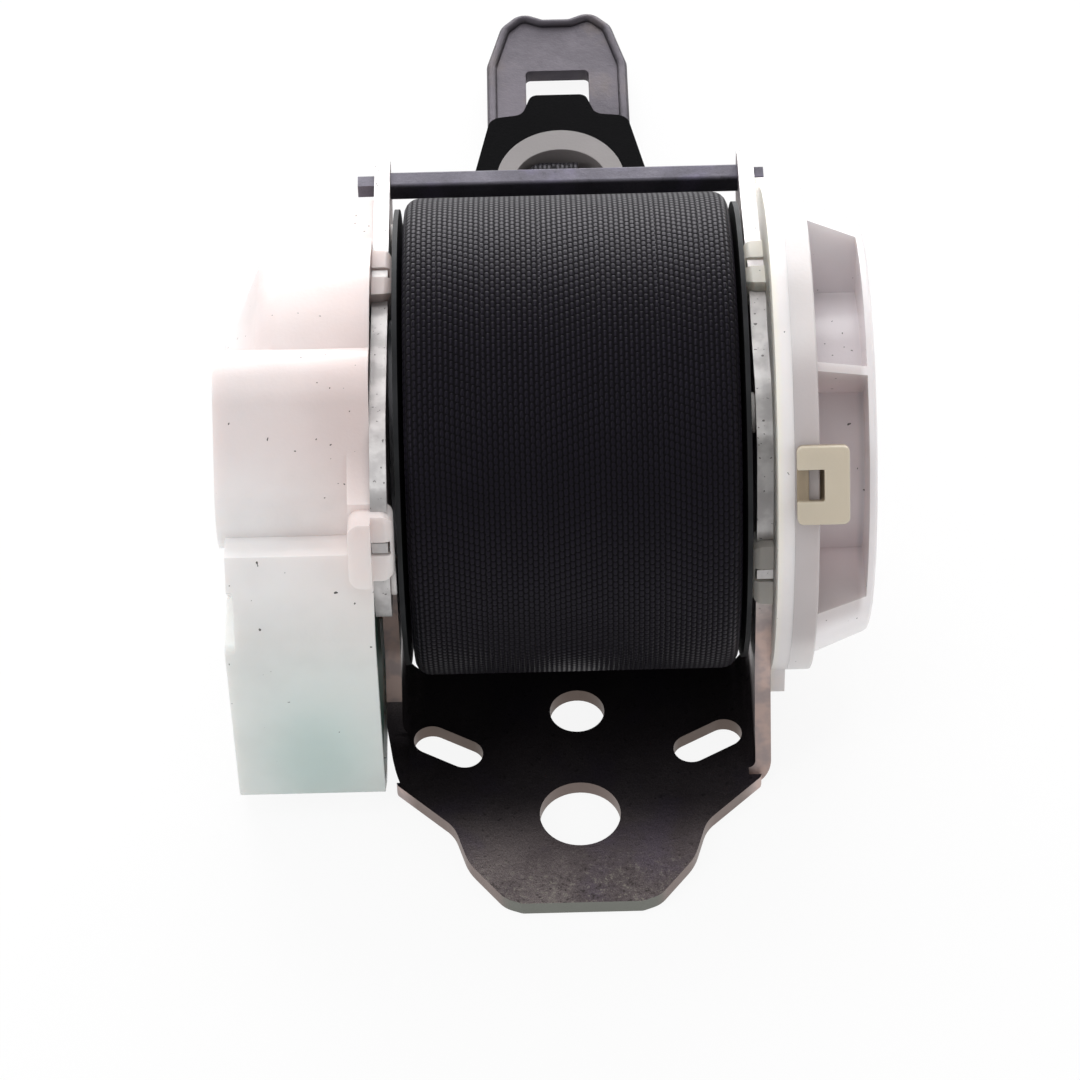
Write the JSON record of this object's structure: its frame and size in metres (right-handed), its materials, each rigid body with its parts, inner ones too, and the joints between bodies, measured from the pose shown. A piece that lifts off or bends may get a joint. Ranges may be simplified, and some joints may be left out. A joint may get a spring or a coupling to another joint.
{
  "type": "seat belt retractor",
  "caption": "Vehicle seat belt: spring retractor with a steel frame, wound webbing, plastic side covers, tie bar and a sewn-on latch tongue.",
  "frame": {"origin": "centre of the main bolt hole, on the underside of the back plate", "axes": "+X along the spool axis towards the return spring, +Y from the mounting tab towards the tongue, +Z square to the back plate, towards the tie bar"},
  "size_m": [0.0926, 0.1941, 0.0729],
  "materials": {
    "frame_steel": "worn zinc plate, dull",
    "tie_bar_steel": "worn zinc plate, dull",
    "spool_casting": "cast, dull",
    "inner_steel": "turned, satin",
    "webbing": "woven, slight sheen",
    "head_casting": "cast, dull",
    "pawl_steel": "hardened, dull",
    "gear_plastic": "moulded, dull",
    "lever_zinc": "cast zinc, dull",
    "milky_cover": "milky nylon, satin",
    "sensor_green": "moulded, dull",
    "ball_steel": "polished",
    "bush_plastic": "moulded, dull",
    "base_nylon": "nylon, slightly yellow, satin",
    "clear_cover": "translucent, satin",
    "latch_ivory": "moulded, satin",
    "spring_steel": "blued strip",
    "tongue_steel": "plated, satin",
    "liner_grey": "smooth",
    "grip_black": "moulded, fine grain",
    "pin_white": "moulded, satin"
  },
  "bodies": {
    "frame": {"frame": "frame_steel", "tie_bar": "tie_bar_steel", "lock_cover": "milky_cover", "lock_cover_pins": "pin_white", "catch_ring": "gear_plastic", "sensor_case": "sensor_green", "spool_bush": "bush_plastic", "spring_base": "base_nylon", "spring_base_pins": "pin_white", "spring_cover": "clear_cover", "cover_latch": "latch_ivory", "return_spring": "spring_steel", "webbing_lead": "webbing"},
    "spool": {"spool": "spool_casting", "pawl_carrier": "head_casting", "torsion_bar": "inner_steel", "webbing_pin": "inner_steel", "webbing_roll": "webbing", "spring_arbor": "bush_plastic"},
    "lock_gear": {"lock_gear": "gear_plastic"},
    "lock_pawl": {"lock_pawl": "pawl_steel"},
    "inertia_lever": {"inertia_lever": "lever_zinc"},
    "sensor_ball": {"sensor_ball": "ball_steel"},
    "sensor_lever": {"sensor_lever": "gear_plastic"},
    "webbing_end": {"webbing_loop": "webbing"},
    "tongue": {"tongue_plate": "tongue_steel", "tongue_grip": "grip_black", "eye_liner": "liner_grey"}
  },
  "joints": [
    {"name": "spool_spin", "type": "hinge", "parent": "frame", "child": "spool", "pos_m": [0, 0.0432, 0.0375], "axis": [-1, 0, 0], "range_deg": [0, 540], "stiffness_Nm_per_rad": 0.004, "springref_deg": -229.18, "deforming": ["return_spring"]},
    {"name": "webbing_pull", "type": "slide", "parent": "frame", "child": "webbing_end", "axis": [0, 1, 0], "range_m": [0, 0.3235], "deforming": ["webbing_lead"]},
    {"name": "tongue_tilt", "type": "hinge", "parent": "webbing_end", "child": "tongue", "pos_m": [0, 0.131, 0.0044], "axis": [1, 0, 0], "range_deg": [0, 100]},
    {"name": "gear_lag", "type": "hinge", "parent": "spool", "child": "lock_gear", "pos_m": [-0.031, 0.0432, 0.0375], "axis": [1, 0, 0], "range_deg": [0, 15], "stiffness_Nm_per_rad": 0.02, "springref_deg": -28.65},
    {"name": "pawl_swing", "type": "hinge", "parent": "spool", "child": "lock_pawl", "pos_m": [-0.0272, 0.0487, 0.04703], "axis": [-1, 0, 0], "range_deg": [0, 12]},
    {"name": "inertia_swing", "type": "hinge", "parent": "lock_gear", "child": "inertia_lever", "pos_m": [-0.0351, 0.0492, 0.02711], "axis": [-1, 0, 0], "range_deg": [0, 10], "stiffness_Nm_per_rad": 0.004, "springref_deg": -28.65},
    {"name": "ball_lift", "type": "slide", "parent": "frame", "child": "sensor_ball", "axis": [0, 1, 0], "range_m": [0, 0.0012]},
    {"name": "sensor_lever_tilt", "type": "hinge", "parent": "frame", "child": "sensor_lever", "pos_m": [-0.039, 0.0186, 0.0056], "axis": [-1, 0, 0], "range_deg": [0, 7.8]}
  ],
  "couplings": [
    {"joint": "webbing_pull", "follows": "spool_spin", "m_per_rad": 0.0343},
    {"joint": "pawl_swing", "follows": "gear_lag", "ratio": 0.8},
    {"joint": "sensor_lever_tilt", "follows": "ball_lift", "rad_per_m": 113.4}
  ]
}
